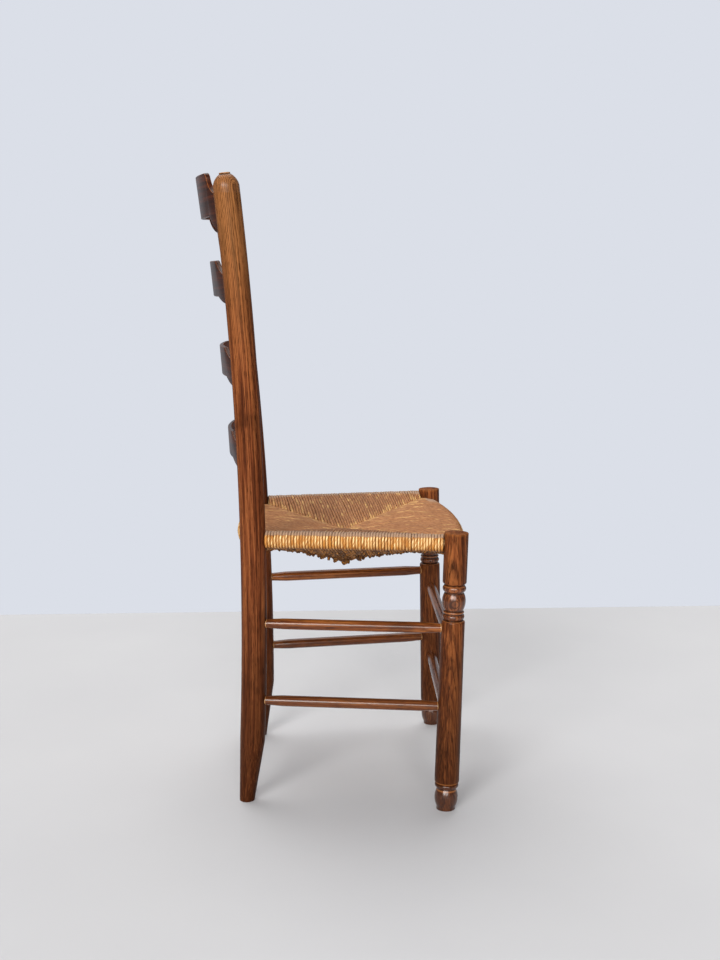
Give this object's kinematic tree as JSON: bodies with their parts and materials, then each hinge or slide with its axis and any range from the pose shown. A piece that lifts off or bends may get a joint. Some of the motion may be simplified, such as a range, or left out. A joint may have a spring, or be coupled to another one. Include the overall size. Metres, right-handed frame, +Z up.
{
  "type": "dining chair",
  "caption": "Ladder-back dining chair with turned front posts, bent rear posts and slats, round stretchers and a woven rush seat.",
  "frame": {"origin": "on the floor, under the middle of the chair's plan box", "axes": "+Z up; the chair faces -Y; +X towards the sitter's left"},
  "size_m": [0.4464, 0.4429, 1.0178],
  "materials": {
    "post_wood": "brown-stained open-grained oak, satin varnish",
    "slat_wood": "dark brown-stained oak, satin varnish",
    "stretcher_wood": "brown-stained oak, satin varnish",
    "rail_wood": "bare turned wood, hidden by the rush",
    "rush": "twisted rush cord, dry and slightly shiny"
  },
  "bodies": {
    "root": {"rear_post_left": "post_wood", "rear_post_right": "post_wood", "front_post_left": "post_wood", "front_post_right": "post_wood", "back_slat_1": "slat_wood", "back_slat_2": "slat_wood", "back_slat_3": "slat_wood", "back_slat_4": "slat_wood", "seat_rail_front": "rail_wood", "seat_rail_rear": "rail_wood", "seat_rail_left": "rail_wood", "seat_rail_right": "rail_wood", "stretcher_left_upper": "stretcher_wood", "stretcher_left_lower": "stretcher_wood", "stretcher_right_upper": "stretcher_wood", "stretcher_right_lower": "stretcher_wood", "stretcher_front_upper": "stretcher_wood", "stretcher_front_lower": "stretcher_wood", "stretcher_rear": "stretcher_wood", "rush_seat": "rush"}
  },
  "joints": []
}
